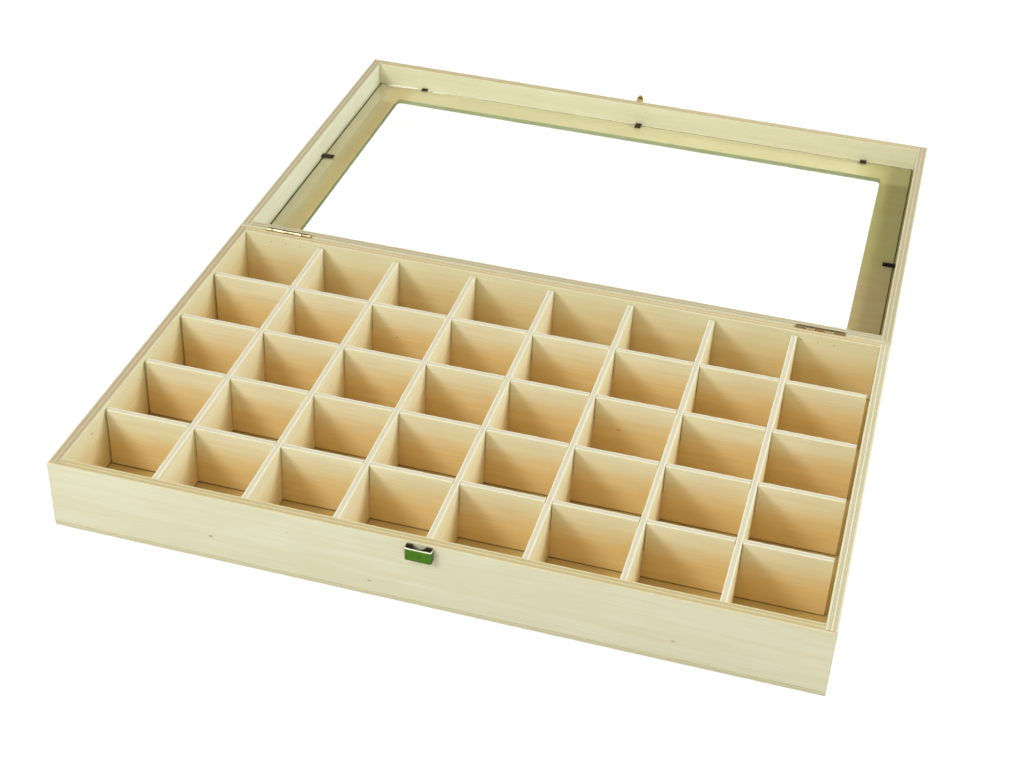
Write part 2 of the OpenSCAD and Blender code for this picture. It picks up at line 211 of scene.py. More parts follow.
class StudioSettings(bpy.types.PropertyGroup):
    """Place of the camera and strength of the lights"""

    camera_aim: FloatVectorProperty(
        name="Aim", description="Point that the camera looks at", subtype="TRANSLATION", unit="LENGTH",
        default=(4.557 * MM, 16.574 * MM, 40.5 * MM),
    )
    camera_distance: length_setting("Distance", "From the camera to its aim", 955.49 * MM)
    camera_azimuth: angle_setting("Azimuth", "Turn of the camera to the right of the front", 14.004)
    camera_elevation: angle_setting("Elevation", "Height of the camera above level", 35.706)
    camera_roll: angle_setting("Roll", "Turn of the camera about its view", 2.804)
    lens: FloatProperty(
        name="Lens", description="Focal length in millimetres", default=61.572, subtype="DISTANCE_CAMERA"
    )
    key_power: FloatProperty(
        name="Key", description="Power of the front left light", default=11.4, unit="POWER"
    )
    key_colour: colour_setting("Key Colour", "Colour of the front left light", (0.87, 0.96, 1.0))
    side_power: FloatProperty(
        name="Side", description="Power of the right light", default=12.8, unit="POWER"
    )
    side_colour: colour_setting("Side Colour", "Colour of the right light", (0.86, 0.95, 1.0))
    fill: FloatProperty(name="Fill", description="Brightness of the surroundings", default=0.72, min=0)
    fill_colour: colour_setting("Fill Colour", "Colour of the surroundings", (1.0, 0.94, 0.84))


# Selecting and shaping


def clear_selection():
    """Leaves edit mode and selects nothing."""
    if bpy.context.object and bpy.context.object.mode != "OBJECT":
        bpy.ops.object.mode_set(mode="OBJECT")
    bpy.ops.object.select_all(action="DESELECT")


def activate(piece):
    """Makes a piece the only selected object."""
    clear_selection()
    piece.select_set(True)
    bpy.context.view_layer.objects.active = piece


def edit(piece):
    """Opens a piece in edit mode with all of it selected."""
    activate(piece)
    bpy.ops.object.mode_set(mode="EDIT")
    bpy.ops.mesh.select_all(action="SELECT")


def choose(piece, what, test):
    """Selects the faces or edges in edit mode whose middle and direction pass the test."""
    bpy.ops.mesh.select_mode(type=what)
    bpy.ops.mesh.select_all(action="DESELECT")
    shape = bmesh.from_edit_mesh(piece.data)
    if what == "FACE":
        for face in shape.faces:
            face.select_set(test(face.calc_center_median(), face.normal))
    else:
        for line in shape.edges:
            first, last = (corner.co for corner in line.verts)
            line.select_set(test((first + last) / 2, (last - first).normalized()))
    shape.select_flush_mode()
    bmesh.update_edit_mesh(piece.data)


def name_piece(piece, name):
    """Names an object and its mesh."""
    piece.name = name
    piece.data.name = name
    return piece


def block(name, low, high):
    """A cube stretched between two corners, with its place in its mesh."""
    low, high = Vector(low), Vector(high)
    clear_selection()
    bpy.ops.mesh.primitive_cube_add(size=1, location=(low + high) / 2, scale=high - low)
    bpy.ops.object.transform_apply(location=True, rotation=True, scale=True)
    return name_piece(bpy.context.object, name)


def upright_sheet(name, low, high, axis):
    """A flat sheet across an axis at the low corner, ready to be cut out and thickened."""
    low, high = Vector(low), Vector(high)
    size = high - low
    middle = (low + high) / 2
    middle[axis] = low[axis]
    turns = {X: (0, math.pi / 2, 0), Y: (math.pi / 2, 0, 0), Z: (0, 0, 0)}
    scales = {X: (size.z, size.y, 1), Y: (size.x, size.z, 1), Z: (size.x, size.y, 1)}
    clear_selection()
    bpy.ops.mesh.primitive_plane_add(size=1, location=middle, rotation=turns[axis])
    bpy.context.object.scale = scales[axis]
    bpy.ops.object.transform_apply(location=True, rotation=True, scale=True)
    return name_piece(bpy.context.object, name)


def cut_across(piece, axis, places):
    """Cuts a whole piece across an axis at each place."""
    for place in places:
        edit(piece)
        bpy.ops.mesh.bisect(plane_co=axis_vector(axis, place), plane_no=axis_vector(axis))


def extrude_by(value):
    """Extrudes the selected faces along a vector."""
    bpy.ops.mesh.extrude_region_move(TRANSFORM_OT_translate={"value": value})


def apply_modifier(piece, kind, **settings):
    """Adds a modifier with its settings and applies it."""
    activate(piece)
    modifier = piece.modifiers.new(kind.title(), kind)
    for key, value in settings.items():
        setattr(modifier, key, value)
    bpy.ops.object.modifier_apply(modifier=modifier.name)


def face_outwards(piece):
    """Merges doubles and points all faces outwards."""
    edit(piece)
    bpy.ops.mesh.remove_doubles(threshold=0.001 * MM)
    bpy.ops.mesh.select_all(action="SELECT")
    bpy.ops.mesh.normals_make_consistent(inside=False)
    clear_selection()


def join(pieces, name):
    """Joins pieces into one."""
    activate(pieces[0])
    for piece in pieces:
        piece.select_set(True)
    bpy.ops.object.join()
    return name_piece(bpy.context.object, name)


def subtract(piece, cutter, solver="EXACT"):
    """Cuts the shape of one piece out of another and removes the cutter."""
    face_outwards(cutter)
    apply_modifier(piece, "BOOLEAN", object=cutter, operation="DIFFERENCE", solver=solver)
    bpy.data.objects.remove(cutter)


def smooth_rounds(piece, angle=math.radians(35)):
    """Shades round parts smooth and keeps flat faces flat."""
    activate(piece)
    bpy.ops.object.shade_smooth_by_angle(angle=angle)
    apply_modifier(piece, "WEIGHTED_NORMAL", keep_sharp=True, weight=100)
    clear_selection()


def turned(name, start, direction, rings):
    """A round piece: a disc that is extruded through rings of (distance along, radius)."""
    direction = Vector(direction).normalized()
    (first_along, radius), *others = rings
    clear_selection()
    bpy.ops.mesh.primitive_circle_add(
        vertices=20, radius=radius, fill_type="NGON",
        location=Vector(start) + direction * first_along,
        rotation=direction.to_track_quat("Z", "Y").to_euler(),
    )
    piece = name_piece(bpy.context.object, name)
    bpy.ops.object.transform_apply(location=True, rotation=True, scale=True)
    edit(piece)
    along = first_along
    for new_along, new_radius in others:
        extrude_by(direction * (new_along - along))
        ratio = new_radius / radius
        bpy.ops.transform.resize(
            value=(ratio, ratio, ratio), center_override=Vector(start) + direction * new_along
        )
        along, radius = new_along, new_radius
    face_outwards(piece)
    return piece


def dress(piece, body, nodes, material):
    """Gives a finished piece its material and its place in the frame."""
    piece.data.materials.clear()
    piece.data.materials.append(material)
    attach(piece, body)
    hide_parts(*nodes)
    return piece


# Node trees


def feed(tree, node, inputs):
    """Links or sets a node's inputs."""
    for socket, value in inputs.items():
        if isinstance(value, bpy.types.NodeSocket):
            tree.links.new(value, node.inputs[socket])
        else:
            node.inputs[socket].default_value = value


def put(tree, kind, inputs=None, **settings):
    """Adds a node, with its settings and what feeds or sets its inputs."""
    node = tree.nodes.new(kind)
    node.location = (190 * (len(tree.nodes) % 12), -220 * (len(tree.nodes) // 12))
    for key, value in settings.items():
        setattr(node, key, value)
    feed(tree, node, inputs or {})
    return node


def calc(tree, operation, *values):
    """A number worked out from one to three others."""
    return put(tree, "ShaderNodeMath", dict(enumerate(values)), operation=operation).outputs[0]


def product(tree, first, *others):
    """Numbers multiplied."""
    for other in others:
        first = calc(tree, "MULTIPLY", first, other)
    return first


def vector_calc(tree, operation, *values):
    """A vector worked out from one or two others."""
    return put(tree, "ShaderNodeVectorMath", dict(enumerate(values)), operation=operation).outputs[0]


def split(tree, vector):
    """The x, y and z of a vector."""
    return put(tree, "ShaderNodeSeparateXYZ", {0: vector}).outputs[:3]


def object_place(tree):
    """The point's object coordinates."""
    return put(tree, "ShaderNodeTexCoord").outputs["Object"]


def blend_colours(tree, share, first, second, blend_type="MIX"):
    """A colour between two others."""
    inputs = {0: share, 6: first, 7: second}
    return put(tree, "ShaderNodeMix", inputs, data_type="RGBA", blend_type=blend_type).outputs[2]


def tinted(tree, colour, tint):
    """A colour multiplied by another."""
    return blend_colours(tree, 1.0, colour, tint, "MULTIPLY")


def ramp(tree, value, low, high, to_low=0.0, to_high=1.0):
    """A number taken smoothly from one range to another."""
    inputs = {0: value, 1: low, 2: high, 3: to_low, 4: to_high}
    return put(tree, "ShaderNodeMapRange", inputs, interpolation_type="SMOOTHSTEP").outputs[0]


def stretched_noise(tree, position, lengths, seed, detail=3.0, distortion=0.0):
    """Noise whose features have the given lengths along the three axes, in metres."""
    scale = [1 / length for length in lengths]
    stretched = vector_calc(tree, "MULTIPLY", position, scale)
    inputs = {"Vector": stretched, "W": seed, "Scale": 1.0, "Detail": detail, "Distortion": distortion}
    return put(tree, "ShaderNodeTexNoise", inputs, noise_dimensions="4D").outputs[0]


SOCKETS = {"value": "NodeSocketFloat", "vector": "NodeSocketVector", "colour": "NodeSocketColor"}


def new_group(name, inputs, outputs):
    """An empty node group with named inputs and outputs."""
    group = bpy.data.node_groups.new(name, "ShaderNodeTree")
    for direction, sockets in (("INPUT", inputs), ("OUTPUT", outputs)):
        for socket, kind in sockets.items():
            group.interface.new_socket(socket, in_out=direction, socket_type=SOCKETS[kind])
    return group, put(group, "NodeGroupInput").outputs


def close_group(group, results):
    """Feeds a group's outputs."""
    put(group, "NodeGroupOutput", results)
    return group


def use_group(tree, group, inputs):
    """Places a group in a node tree."""
    return put(tree, "ShaderNodeGroup", inputs, node_tree=group).outputs


def veneer_group():
    """Grain of a flat-cut veneer, with x along the grain and y across it."""
    group, given = new_group(
        "Veneer Grain",
        {"Position": "vector", "Seed": "value"},
        {"Grain": "value", "Mottle": "value", "Specks": "value"},
    )
    position, seed = given["Position"], given["Seed"]
    fine = stretched_noise(group, position, (30 * MM, 0.9 * MM, 0.9 * MM), seed, detail=4)
    broad = stretched_noise(group, position, (130 * MM, 7 * MM, 7 * MM), seed, detail=3, distortion=0.8)
    mottle = stretched_noise(group, position, (35 * MM, 16 * MM, 16 * MM), seed, detail=3)
    grain = calc(group, "MULTIPLY_ADD", fine, 0.45, product(group, broad, 0.55))
    spot_size = (14 * MM, 8 * MM, 60 * MM)
    cells = vector_calc(group, "MULTIPLY", position, [1 / size for size in spot_size])
    cells = vector_calc(group, "ADD", cells, seed)
    spots = put(group, "ShaderNodeTexVoronoi", {"Vector": cells, "Scale": 1.0})
    near = ramp(group, spots.outputs["Distance"], 0.03, 0.13, 1.0, 0.0)
    parts = put(group, "ShaderNodeSeparateColor", {0: spots.outputs["Color"]})
    rare = ramp(group, parts.outputs[0], 0.90, 0.97)
    return close_group(
        group,
        {
            "Grain": ramp(group, grain, 0.32, 0.68),
            "Mottle": ramp(group, mottle, 0.3, 0.7),
            "Specks": product(group, near, rare),
        },
    )


def layers_group():
    """Plies across a board's thickness: which are cut across the grain, and the glue between them."""
    group, given = new_group(
        "Ply Layers",
        {"Position": "vector", "Thickness": "value", "Plies": "value", "Seed": "value"},
        {"Cross Ply": "value", "Glue": "value", "Fibres": "value"},
    )
    position = given["Position"]
    wander = stretched_noise(group, position, (18 * MM, 18 * MM, 3 * MM), given["Seed"], detail=2)
    depth = split(group, position)[Z]
    share = calc(group, "ADD", calc(group, "DIVIDE", depth, given["Thickness"]), 0.5)
    share = calc(group, "ADD", share, product(group, calc(group, "SUBTRACT", wander, 0.5), 0.05))
    ply = product(group, share, given["Plies"])
    cross = calc(group, "MODULO", calc(group, "FLOOR", ply), 2.0)
    within = calc(group, "FRACT", ply)
    to_joint = calc(group, "MINIMUM", within, calc(group, "SUBTRACT", 1.0, within))
    to_skin = calc(group, "MINIMUM", share, calc(group, "SUBTRACT", 1.0, share))
    inside = ramp(group, to_skin, 0.03, 0.06)
    fibres = stretched_noise(group, position, (1.6 * MM, 1.6 * MM, 0.25 * MM), given["Seed"], detail=3)
    return close_group(
        group,
        {
            "Cross Ply": cross,
            "Glue": product(group, ramp(group, to_joint, 0.03, 0.11, 1.0, 0.0), inside),
            "Fibres": ramp(group, fibres, 0.3, 0.7),
        },
    )


def worn_edge_group():
    """How near a point is to an edge of its board, broken up by noise."""
    group, given = new_group(
        "Worn Edge",
        {"Position": "vector", "Half Size": "vector", "Width": "value", "Seed": "value"},
        {"Wear": "value", "Cut": "value"},
    )
    from_middle = vector_calc(group, "ABSOLUTE", given["Position"])
    along, across, under = split(group, vector_calc(group, "SUBTRACT", given["Half Size"], from_middle))
    low = calc(group, "MINIMUM", calc(group, "MINIMUM", along, across), under)
    high = calc(group, "MAXIMUM", calc(group, "MAXIMUM", along, across), under)
    total = calc(group, "ADD", calc(group, "ADD", along, across), under)
    second = calc(group, "SUBTRACT", calc(group, "SUBTRACT", total, low), high)
    breakup = stretched_noise(group, given["Position"], [3 * MM] * 3, given["Seed"], detail=3)
    reach = product(group, given["Width"], ramp(group, breakup, 0.3, 0.7, 0.4, 1.6))
    wear_and_highlight = calc(group, "SUBTRACT", 1.0, calc(group, "DIVIDE", second, reach))
    return close_group(
        group,
        {
            "Wear": put(group, "ShaderNodeClamp", {0: wear_and_highlight}).outputs[0],
            "Cut": ramp(group, under, 0.12 * MM, 0.4 * MM),
        },
    )


def plywood_group(veneer, layers, worn_edge):
    """Plywood seen from any side: veneer on its faces and cut plies at its edges."""
    group, given = new_group(
        "Plywood",
        {
            "Position": "vector", "Half Size": "vector", "Plies": "value", "Seed": "value",
            "Light": "colour", "Dark": "colour", "Cut Light": "colour", "Cut Dark": "colour",
            "Glue": "colour",
        },
        {"Color": "colour", "Roughness": "value", "Height": "value"},
    )
    position, seed = given["Position"], given["Seed"]
    grain, mottle, specks = use_group(group, veneer, {"Position": position, "Seed": seed})
    thickness = product(group, split(group, given["Half Size"])[Z], 2.0)
    cross, glue, fibres = use_group(
        group, layers,
        {"Position": position, "Thickness": thickness, "Plies": given["Plies"], "Seed": seed},
    )
    wear_and_highlight, cut = use_group(
        group, worn_edge,
        {"Position": position, "Half Size": given["Half Size"], "Width": 0.7 * MM, "Seed": seed},
    )
    light, dark, glue_colour = given["Light"], given["Dark"], given["Glue"]
    cut_light, cut_dark = given["Cut Light"], given["Cut Dark"]
    face = blend_colours(group, product(group, grain, 0.46), light, dark)
    face = blend_colours(group, product(group, mottle, 0.22), face, dark)
    face = blend_colours(group, product(group, specks, 0.75), face, glue_colour)
    long_cut = blend_colours(group, product(group, fibres, 0.35), cut_light, cut_dark)
    cross_cut = blend_colours(group, product(group, fibres, 0.45), cut_dark, cut_light)
    edge = blend_colours(group, cross, long_cut, cross_cut)
    edge = blend_colours(group, product(group, glue, 0.75), edge, glue_colour)
    colour = blend_colours(group, cut, face, edge)
    # Lighter along the edges: sanding wear and a painted edge highlight
    colour = blend_colours(group, product(group, wear_and_highlight, 0.35), colour, light)
    rough = calc(group, "MULTIPLY_ADD", grain, 0.12, calc(group, "MULTIPLY_ADD", cut, 0.15, 0.55))
    height = calc(group, "MULTIPLY_ADD", grain, -0.5, product(group, specks, -1.0))
    height = calc(group, "MULTIPLY_ADD", product(group, fibres, cut), -1.2, height)
    return close_group(group, {"Color": colour, "Roughness": rough, "Height": height})


def metal_group():
    """Rolled sheet metal: fine scratches and patches of tarnish."""
    group, given = new_group(
        "Sheet Metal",
        {"Position": "vector", "Seed": "value", "Bright": "colour", "Dull": "colour", "Dullness": "value"},
        {"Color": "colour", "Roughness": "value", "Height": "value"},
    )
    position, seed = given["Position"], given["Seed"]
    scratches = stretched_noise(group, position, (6 * MM, 0.12 * MM, 0.12 * MM), seed, detail=3)
    patches = stretched_noise(group, position, [2.5 * MM] * 3, seed, detail=4, distortion=0.6)
    dull = product(group, ramp(group, patches, 0.42, 0.72), given["Dullness"])
    colour = blend_colours(group, dull, given["Bright"], given["Dull"])
    rough = calc(group, "MULTIPLY_ADD", dull, 0.25, ramp(group, scratches, 0.3, 0.75, 0.14, 0.3))
    return close_group(group, {"Color": colour, "Roughness": rough, "Height": scratches})


def cells_group():
    """Whether a point lies within the box walls' inner faces, how far down it is, and whether it lies in
    the thin band above the floor that takes painted contact shadow.
    """
    group, given = new_group(
        "Cell Depth", {"Position": "vector"}, {"Inside": "value", "Depth": "value", "Foot": "value"}
    )
    skin = 0.15 * MM
    inner_x, inner_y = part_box("right_wall")[LOW].x + skin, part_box("rear_wall")[LOW].y + skin
    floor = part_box("bottom_panel")[HIGH].z
    from_x, from_y, height = split(group, vector_calc(group, "ABSOLUTE", given["Position"]))
    inside = product(
        group, calc(group, "LESS_THAN", from_x, inner_x), calc(group, "LESS_THAN", from_y, inner_y),
        calc(group, "GREATER_THAN", height, floor - skin),
    )
    clear_of_floor = calc(group, "GREATER_THAN", height, floor + skin)
    foot = product(group, ramp(group, height, floor + 0.7 * MM, floor + 1.2 * MM, 1.0, 0.0), clear_of_floor)
    depth = ramp(group, height, floor + 12 * MM, RIM - 2 * MM, 1.0, 0.0)
    return close_group(group, {"Inside": inside, "Depth": depth, "Foot": foot})


groups = {}


def make_groups():
    """Builds each shared node group once."""
    veneer, layers, worn_edge = veneer_group(), layers_group(), worn_edge_group()
    groups["plywood"] = plywood_group(veneer, layers, worn_edge)
    groups["metal"] = metal_group()
    groups["cells"] = cells_group()


def new_material(name):
    """A material, its node tree and its Principled shader."""
    material = bpy.data.materials.new(name)
    material.use_nodes = True
    tree = material.node_tree
    tree.nodes.clear()
    shader = put(tree, "ShaderNodeBsdfPrincipled")
    put(tree, "ShaderNodeOutputMaterial", {"Surface": shader.outputs[0]})
    return material, tree, shader


def cover(tree, shader, surface, strength, depth, **constants):
    """Gives a shader its colour, roughness and bump, the bump's strength and depth, and constants."""
    colour, rough, height = surface
    bump = put(tree, "ShaderNodeBump", {"Strength": strength, "Distance": depth, "Height": height})
    feed(tree, shader, {"Base Color": colour, "Roughness": rough, "Normal": bump.outputs[0], **constants})


def mix_surface(tree, share, first, second):
    """Feeds a material's output with a mix of two shaders."""
    mix = put(tree, "ShaderNodeMixShader", {0: share, 1: first.outputs[0], 2: second.outputs[0]})
    output = next(node for node in tree.nodes if node.type == "OUTPUT_MATERIAL")
    tree.links.new(mix.outputs[0], output.inputs["Surface"])


def board_position(tree, low, high, thick, grain):
    """Object coordinates about a board's middle, turned so that x runs along the grain and z through it."""
    along, through = axis_vector(grain), axis_vector(thick)
    ways = Matrix((along, through.cross(along), through)).transposed()
    middle, half = (low + high) / 2, (high - low) / 2
    inputs = {"Vector": object_place(tree), "Location": middle, "Rotation": ways.to_euler()}
    board = put(tree, "ShaderNodeMapping", inputs, vector_type="TEXTURE").outputs[0]
    return board, [half[axis] for axis in (grain, X + Y + Z - thick - grain, thick)]


def shade_in_cells(tree, colour, rim_painted_light, foot_painted_shade):
    """Paints shade on the faces that look into the cells: painted light at the rim, painted shade from
    there down to the foot, and painted contact shadow at the foot.
    """
    inside, depth, foot = use_group(tree, groups["cells"], {"Position": object_place(tree)})
    tint = blend_colours(tree, depth, (*rim_painted_light, 1), (*foot_painted_shade, 1))
    # Painted contact shadow at the foot
    tint = blend_colours(tree, foot, tint, (*FOOT_PAINTED_SHADOW, 1))
    return blend_colours(tree, inside, colour, tinted(tree, colour, tint))


def shade_and_tone_lid_panel(tree, colour, position, half, seed):
    """The lid panel's painted shade of the right wall along its right border, a browner band beside the
    window at the left, and painted shade on the window's cut edge.
    """
    along, across, through = split(tree, position)
    drift = stretched_noise(tree, position, (40 * MM, 25 * MM, 25 * MM), seed)
    inner_face = calc(tree, "GREATER_THAN", through, 0.0)
    # Painted shade of the right wall on the border at the right
    right_wall_shade = ramp(tree, calc(tree, "MULTIPLY_ADD", drift, 12 * MM, along), 160 * MM, 176 * MM)
    hinge_side = ramp(tree, calc(tree, "MULTIPLY_ADD", drift, 30 * MM, across), -40 * MM, 25 * MM, 1.0, 0.0)
    tone = blend_colours(tree, hinge_side, (*RIGHT_WALL_PAINTED_SHADE, 1), (*RIGHT_WALL_PAINTED_SHADE_BROWN, 1))
    colour = blend_colours(tree, product(tree, right_wall_shade, inner_face), colour, tinted(tree, colour, tone))
    brown = ramp(tree, calc(tree, "MULTIPLY_ADD", drift, 8 * MM, along), -184 * MM, -174 * MM)
    brown = product(tree, brown, ramp(tree, along, -172 * MM, -160 * MM, 1.0, 0.0), inner_face)
    colour = blend_colours(tree, brown, colour, tinted(tree, colour, (*LEFT_BORDER, 1)))
    # Painted shade on the window's cut edge
    from_x, from_y = split(tree, vector_calc(tree, "ABSOLUTE", position))[:2]
    skin = 0.1 * MM
    window = product(
        tree, calc(tree, "LESS_THAN", from_x, half[X] - WINDOW_SIDE + skin),
        calc(tree, "LESS_THAN", from_y, half[Y] - WINDOW_FRONT + skin),
    )
    return blend_colours(tree, window, colour, tinted(tree, colour, (*WINDOW_EDGE_PAINTED_SHADE, 1)))


def stock_colours(node, stock):
    """A board's colours: face, grain, plies cut along and across the grain, and glue."""
    wood = bpy.context.scene.specimen_wood
    light, dark = getattr(wood, stock + "_light"), getattr(wood, stock + "_dark")
    cuts, glue = (wood.cut_light, wood.cut_dark), wood.glue
    if stock == "panel":
        cuts = wood.face_light, wood.face_dark
    elif stock == "strip":
        cuts, glue = (wood.strip_cut_light, wood.strip_cut_dark), wood.strip_glue
    elif node.startswith("lid"):
        cuts = wood.lid_cut_light, wood.lid_cut_dark
    tones = CUT_TONES.get(node, OWN_COLOUR)
    cut_light, cut_dark = ([part * tone for part, tone in zip(cut, tones)] for cut in cuts)
    names = ("Light", "Dark", "Cut Light", "Cut Dark", "Glue")
    return {name: (*colour, 1) for name, colour in zip(names, (light, dark, cut_light, cut_dark, glue))}


def plywood(node, thick, grain, plies, seed, stock="face"):
    """Plywood for the board of a node. thick is the axis through the board."""
    material, tree, shader = new_material(f"{node}_plywood")
    position, half = board_position(tree, *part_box(node), thick, grain)
    inputs = {"Position": position, "Half Size": half, "Plies": plies, "Seed": seed}
    inputs.update(stock_colours(node, stock))
    colour, rough, height = use_group(tree, groups["plywood"], inputs)
    # Painted shade down the cells, painted light near the walls' rims, and painted contact shadow at the
    # foot
    if node in CROSS_DIVIDERS:
        colour = shade_in_cells(tree, colour, OWN_COLOUR, CROSS_STRIP_PAINTED_SHADE)
    elif node in LONG_DIVIDERS:
        colour = shade_in_cells(tree, colour, OWN_COLOUR, LONG_STRIP_PAINTED_SHADE)
    elif not node.startswith("lid"):
        colour = shade_in_cells(tree, colour, WALL_RIM_PAINTED_LIGHT, WALL_PAINTED_SHADE)
    elif node == "lid_panel":
        colour = shade_and_tone_lid_panel(tree, colour, position, half, seed)
    elif node == "lid_front_wall":
        colour = tinted(tree, colour, (*PALE_BOARD, 1))
    cover(tree, shader, (colour, rough, height), 0.5, 0.08 * MM, **{"Specular IOR Level": 0.3})
    return material


def metal(name, bright, dull, dullness, seed, top_tints=()):
    """Sheet metal in two colours. top_tints are (start height, full height, colour) bands over them."""
    material, tree, shader = new_material(name)
    place = object_place(tree)
    inputs = {
        "Position": place, "Seed": seed, "Bright": (*bright, 1), "Dull": (*dull, 1), "Dullness": dullness,
    }
    colour, rough, height = use_group(tree, groups["metal"], inputs)
    for start, full, tint in top_tints:
        share = ramp(tree, split(tree, place)[Z], start, full)
        colour = blend_colours(tree, share, colour, (*tint, 1))
    cover(tree, shader, (colour, rough, height), 0.25, 0.02 * MM, Metallic=1.0)
    return material


def pane_material():
    """Clear acrylic that lets the lights through, with painted shade along its side edges where they meet
    the lid walls.
    """
    fittings = bpy.context.scene.specimen_fittings
    material, tree, shader = new_material("clear_acrylic")
    place = object_place(tree)
    smears = stretched_noise(tree, place, (60 * MM, 20 * MM, 20 * MM), 3.0, detail=4)
    low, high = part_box("pane")
    inputs = {"Vector": place, "Location": (low + high) / 2}
    sheet = put(tree, "ShaderNodeMapping", inputs, vector_type="TEXTURE").outputs[0]
    from_x = split(tree, vector_calc(tree, "ABSOLUTE", sheet))[X]
    # A band along the side edges, darkened as painted shade
    rim = calc(tree, "GREATER_THAN", from_x, (high.x - low.x) / 2 - 0.7 * MM)
    feed(tree, shader, {
        "Base Color": blend_colours(tree, rim, (*fittings.pane_tint, 1), (*fittings.pane_edge_painted_shade, 1)),
        "Roughness": ramp(tree, smears, 0.5, 0.8, 0.0, 0.01),
        "Transmission Weight": 1.0, "IOR": 1.49,
    })
    passed = (*(0.9 * part for part in fittings.pane_tint), 1)
    clear = put(tree, "ShaderNodeBsdfTransparent", {"Color": passed})
    mix_surface(tree, put(tree, "ShaderNodeLightPath").outputs["Is Shadow Ray"], shader, clear)
    return material


# Wooden pieces


def soften_wood(piece, length_axis):
    """Rounds a board's edges and dents them a little, as sanding and use do."""
    wood = bpy.context.scene.specimen_wood
    edit(piece)
    choose(piece, "EDGE", lambda middle, way: abs(way[length_axis]) > 0.99)
    shape = bmesh.from_edit_mesh(piece.data)
    longest = max(line.calc_length() for line in shape.edges if line.select)
    most_cuts = 99
    bpy.ops.mesh.subdivide(number_cuts=min(most_cuts, max(1, round(longest / wood.wear_step))))
    bpy.ops.mesh.select_mode(type="EDGE")
    bpy.ops.mesh.select_all(action="DESELECT")
    bpy.ops.mesh.edges_select_sharp(sharpness=math.radians(40))
    bpy.ops.mesh.bevel(offset=wood.edge_round, segments=2, affect="EDGES")
    bpy.ops.object.vertex_group_assign_new()
    dents = bpy.data.textures.get("Edge Dents") or bpy.data.textures.new("Edge Dents", "CLOUDS")
    dents.noise_scale = 5 * MM
    apply_modifier(
        piece, "DISPLACE", texture=dents, strength=wood.edge_wear, mid_level=0.65, vertex_group="Group"
    )
    piece.vertex_groups.clear()
    smooth_rounds(piece)


def long_wall(node, outer_side):
    """Front or rear wall: a board whose outer veneer runs on past its ends and covers the side walls."""
    low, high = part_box(node)
    thickness = high.y - low.y
    inset = Vector((thickness, 0, 0))
    wall = block(node + "_board", low + inset, high - inset)
    joint = low.y + LAP if outer_side == LOW else high.y - LAP
    cut_across(wall, Y, [joint])
    for side in (-1, 1):
        edit(wall)
        choose(
            wall, "FACE",
            lambda middle, way: way.x * side > 0.9 and ((middle.y < joint) == (outer_side == LOW)),
        )
        extrude_by((side * thickness, 0, 0))
    soften_wood(wall, X)
    return wall


def plain_board(node, length_axis):
    """A plain board with soft edges."""
    board = block(node + "_board", *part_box(node))
    soften_wood(board, length_axis)
    return board


def hinge_centres():
    """The middles of the two hinges along the seam."""
    return [sum(corner.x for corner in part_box(f"hinge_pin_{side}")) / 2 for side in ("left", "right")]


def cut_hinge_pockets(wall, rear, outward):
    """Lets the leaves, knuckles and nails of both hinges into a rear wall."""
    play, past, below = 0.3 * MM, 1 * MM, 0.05 * MM
    trough_radius = BARREL_RADIUS + play
    leaf_low, leaf_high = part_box("hinge_leaf_box_left")
    half = (leaf_high.x - leaf_low.x) / 2 + play
    near, far = sorted((rear - outward * LEAF_SHEET, rear + outward * past))
    for centre in hinge_centres():
        pocket = block(
            "pocket", (centre - half, near, leaf_low.z - below), (centre + half, far, RIM + past)
        )
        start = Vector((centre - half, HINGE_AXIS.y, HINGE_AXIS.z))
        trough = turned("trough", start, (1, 0, 0), [(0, trough_radius), (2 * half, trough_radius)])
        # The exact solver can turn a dented wall inside out
        subtract(wall, pocket, "MANIFOLD")
        subtract(wall, trough, "MANIFOLD")
    smooth_rounds(wall)


def slotted_strip(node, thick, slots, from_top):
    """A divider: a sheet cut out with its slots, then thickened. slots are places along the strip."""
    low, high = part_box(node)
    length = X if thick == Y else Y
    width = high[thick] - low[thick]
    middle, play = (low.z + high.z) / 2, 0.1 * MM
    strip = upright_sheet(node + "_strip", low, high, thick)
    cut_across(strip, length, [place + side * (width / 2 + play) for place in slots for side in (-1, 1)])
    cut_across(strip, Z, [middle])
    edit(strip)
    choose(
        strip, "FACE",
        lambda place, way: (place.z > middle) == from_top
        and any(abs(place[length] - slot) < width / 2 for slot in slots),
    )
    bpy.ops.mesh.delete(type="FACE")
    bpy.ops.mesh.select_mode(type="FACE")
    bpy.ops.mesh.select_all(action="SELECT")
    extrude_by(axis_vector(thick, width))
    face_outwards(strip)
    soften_wood(strip, length)
    return strip


def copy_piece(piece, name, move):
    """A copy with its own mesh, moved by a vector."""
    activate(piece)
    bpy.ops.object.duplicate(linked=False)
    copy = name_piece(bpy.context.object, name)
    copy.location = move
    bpy.ops.object.transform_apply(location=True, rotation=True, scale=True)
    return copy


class SPECIMEN_OT_box_walls(bpy.types.Operator):
    """Makes the box's four walls and its bottom panel"""

    bl_idname = "specimen.box_walls"
    bl_label = "Box Walls"

    def execute(self, context):
        walls = {"front_wall": long_wall("front_wall", LOW), "rear_wall": long_wall("rear_wall", HIGH)}
        cut_hinge_pockets(walls["rear_wall"], BOX_REAR, 1)
        for node, wall in walls.items():
            dress(wall, "box", [node], plywood(node, Y, X, WALL_PLIES, len(node) * 1.7))
        for seed, node in enumerate(("left_wall", "right_wall")):
            wall = plain_board(node, Y)
            dress(wall, "box", [node], plywood(node, X, Y, WALL_PLIES, 4.3 + seed))
        finish = plywood("bottom_panel", Z, X, THIN_PLIES, 8.1, "panel")
        dress(plain_board("bottom_panel", X), "box", ["bottom_panel"], finish)
        return {"FINISHED"}


